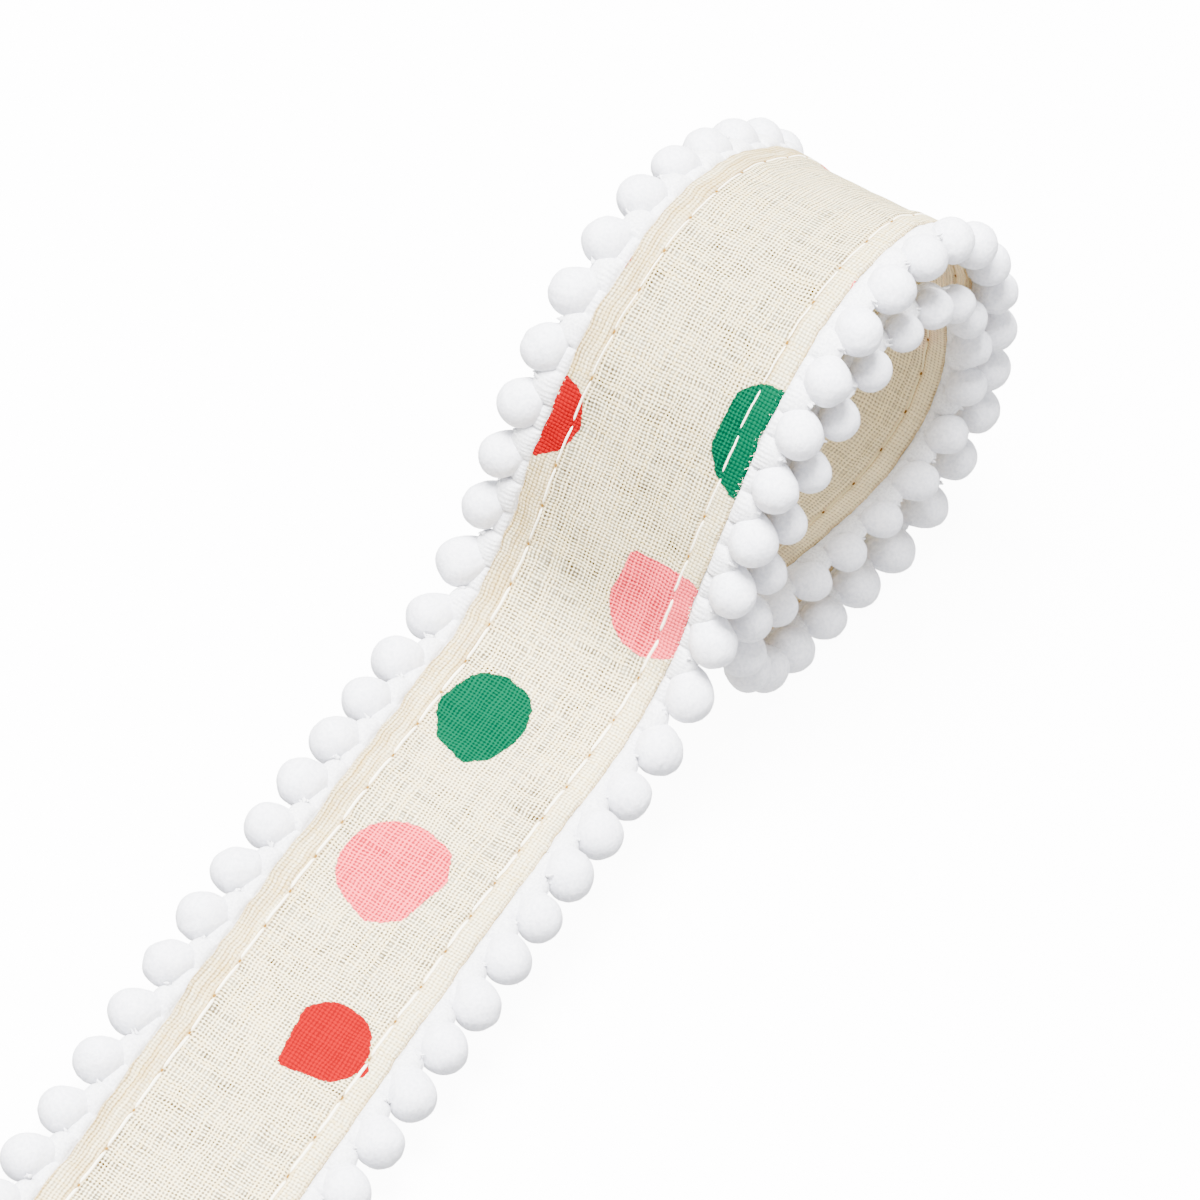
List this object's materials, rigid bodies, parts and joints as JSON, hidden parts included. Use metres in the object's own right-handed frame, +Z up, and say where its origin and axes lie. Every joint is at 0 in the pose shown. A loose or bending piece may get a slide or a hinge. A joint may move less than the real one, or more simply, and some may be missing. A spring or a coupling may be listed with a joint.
{
  "type": "pompom fringe trim",
  "caption": "Hemmed linen tape with a row of white mini pompoms sewn along each long edge, loosely rolled with its tail laid out.",
  "frame": {"origin": "centre of the bounding box's base, on the ground that the trim rests on", "axes": "+X from the free end of the tail towards the roll, +Z up"},
  "size_m": [0.1843, 0.0471, 0.0625],
  "materials": {
    "linen": "matt plain weave",
    "cotton": "matt, soft pile"
  },
  "bodies": {
    "root": {"tape": "linen", "trim_left_tail": "cotton", "trim_left_over": "cotton", "trim_left_under": "cotton", "trim_left_inner": "cotton", "trim_right_tail": "cotton", "trim_right_over": "cotton", "trim_right_under": "cotton", "trim_right_inner": "cotton"}
  },
  "joints": []
}
